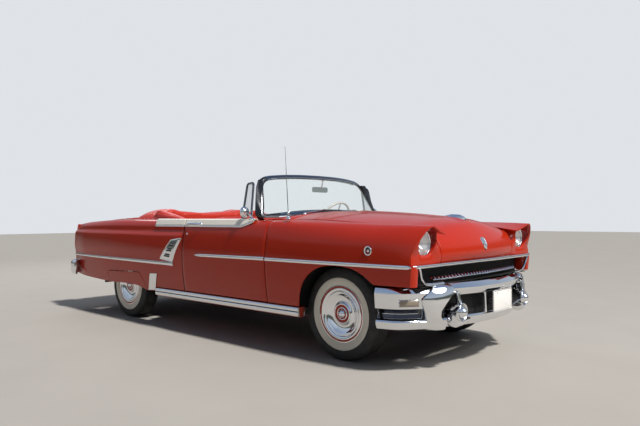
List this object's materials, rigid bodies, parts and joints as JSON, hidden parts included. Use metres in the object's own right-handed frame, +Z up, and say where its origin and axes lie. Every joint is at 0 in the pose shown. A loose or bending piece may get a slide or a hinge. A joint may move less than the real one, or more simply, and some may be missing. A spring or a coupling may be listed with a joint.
{
  "type": "two-door convertible car",
  "caption": "Full-size 1950s two-door convertible car with its top folded under a cover, opening doors, hood and trunk lid, steered front wheels and rolling wheels.",
  "frame": {"origin": "on the ground, under the middle of the car's overall length and width", "axes": "+X towards the front of the car, +Y to its left, +Z up"},
  "size_m": [5.2527, 1.9482, 1.6402],
  "materials": {
    "frame_black": "satin",
    "engine_paint": "satin",
    "exhaust_steel": "satin",
    "body_red": "gloss",
    "floor_dark": "satin",
    "chrome": "polished",
    "lamp_glass": "clear",
    "lamp_red": "gloss",
    "dash_red": "gloss",
    "seat_red": "satin",
    "cover_red": "satin",
    "wheel_white": "gloss",
    "clear_glass": "clear",
    "tyre": "matte",
    "wheel_chrome": "polished"
  },
  "bodies": {
    "body": {"antenna": "chrome", "body_floor": "floor_dark", "bright_trim": "chrome", "chassis_frame": "frame_black", "cowl": "body_red", "dashboard": "dash_red", "deck": "body_red", "engine": "engine_paint", "exhaust": "exhaust_steel", "fender_skirts": "body_red", "front_bumper": "chrome", "front_fender_left": "body_red", "front_fender_right": "body_red", "front_seat": "seat_red", "front_suspension": "frame_black", "fuel_tank": "frame_black", "grille": "chrome", "lamps": "lamp_glass", "radiator_support": "frame_black", "rear_axle": "frame_black", "rear_bumper": "chrome", "rear_panel": "body_red", "rear_quarter_left": "body_red", "rear_quarter_right": "body_red", "rear_seat": "seat_red", "steering_column": "dash_red", "tail_lamps": "lamp_red", "top_cover": "cover_red", "windshield_frame": "chrome", "windshield_glass": "clear_glass"},
    "wheel_body_front_left": {"tyre_front_left": "tyre", "wheel_front_left": "wheel_chrome"},
    "wheel_body_front_right": {"tyre_front_right": "tyre", "wheel_front_right": "wheel_chrome"},
    "wheel_body_rear_left": {"tyre_rear_left": "tyre", "wheel_rear_left": "wheel_chrome"},
    "wheel_body_rear_right": {"tyre_rear_right": "tyre", "wheel_rear_right": "wheel_chrome"},
    "knuckle_body_left": {"knuckle_left": "frame_black"},
    "knuckle_body_right": {"knuckle_right": "frame_black"},
    "track_rod_body": {"track_rod": "frame_black"},
    "steering_wheel_body": {"steering_wheel": "wheel_white"},
    "door_body_left": {"door_left": "body_red", "door_trim_left": "chrome", "vent_glass_left": "clear_glass"},
    "door_body_right": {"door_right": "body_red", "door_trim_right": "chrome", "vent_glass_right": "clear_glass"},
    "hood_body": {"hood": "body_red", "hood_ornament": "chrome"},
    "lid_body": {"trunk_lid": "body_red"}
  },
  "joints": [
    {"name": "steering_wheel_turn", "type": "hinge", "parent": "body", "child": "steering_wheel_body", "pos_m": [0.606, 0.4, 1.026], "axis": [-0.8829, 0, 0.4695], "range_deg": [-600, 600]},
    {"name": "knuckle_left_steer", "type": "hinge", "parent": "body", "child": "knuckle_body_left", "pos_m": [1.731, 0.64, 0.35], "axis": [0, 0, 1], "range_deg": [-30, 30]},
    {"name": "knuckle_right_steer", "type": "hinge", "parent": "body", "child": "knuckle_body_right", "pos_m": [1.731, -0.64, 0.35], "axis": [0, 0, 1], "range_deg": [-30, 30]},
    {"name": "track_rod_shift", "type": "slide", "parent": "body", "child": "track_rod_body", "axis": [0, 1, 0], "range_m": [-0.065, 0.065]},
    {"name": "wheel_front_left_spin", "type": "hinge", "parent": "knuckle_body_left", "child": "wheel_body_front_left", "pos_m": [1.731, 0.7365, 0.35], "axis": [0, 1, 0], "continuous": true},
    {"name": "wheel_front_right_spin", "type": "hinge", "parent": "knuckle_body_right", "child": "wheel_body_front_right", "pos_m": [1.731, -0.7365, 0.35], "axis": [0, 1, 0], "continuous": true},
    {"name": "wheel_rear_left_spin", "type": "hinge", "parent": "body", "child": "wheel_body_rear_left", "pos_m": [-1.292, 0.7495, 0.35], "axis": [0, 1, 0], "continuous": true},
    {"name": "wheel_rear_right_spin", "type": "hinge", "parent": "body", "child": "wheel_body_rear_right", "pos_m": [-1.292, -0.7495, 0.35], "axis": [0, 1, 0], "continuous": true},
    {"name": "door_left_swing", "type": "hinge", "parent": "body", "child": "door_body_left", "pos_m": [1, 0.942, 0.7], "axis": [0, 0, -1], "range_deg": [0, 65]},
    {"name": "door_right_swing", "type": "hinge", "parent": "body", "child": "door_body_right", "pos_m": [1, -0.942, 0.7], "axis": [0, 0, 1], "range_deg": [0, 65]},
    {"name": "hood_lift", "type": "hinge", "parent": "body", "child": "hood_body", "pos_m": [1.296, 0, 1.12], "axis": [0, -1, 0], "range_deg": [0, 45]},
    {"name": "trunk_lid_lift", "type": "hinge", "parent": "body", "child": "lid_body", "pos_m": [-1.506, 0, 1.102], "axis": [0, 1, 0], "range_deg": [0, 60]}
  ],
  "couplings": [
    {"joint": "knuckle_left_steer", "follows": "steering_wheel_turn", "ratio": 0.05},
    {"joint": "knuckle_right_steer", "follows": "steering_wheel_turn", "ratio": 0.05},
    {"joint": "track_rod_shift", "follows": "steering_wheel_turn", "m_per_rad": -0.0059}
  ]
}
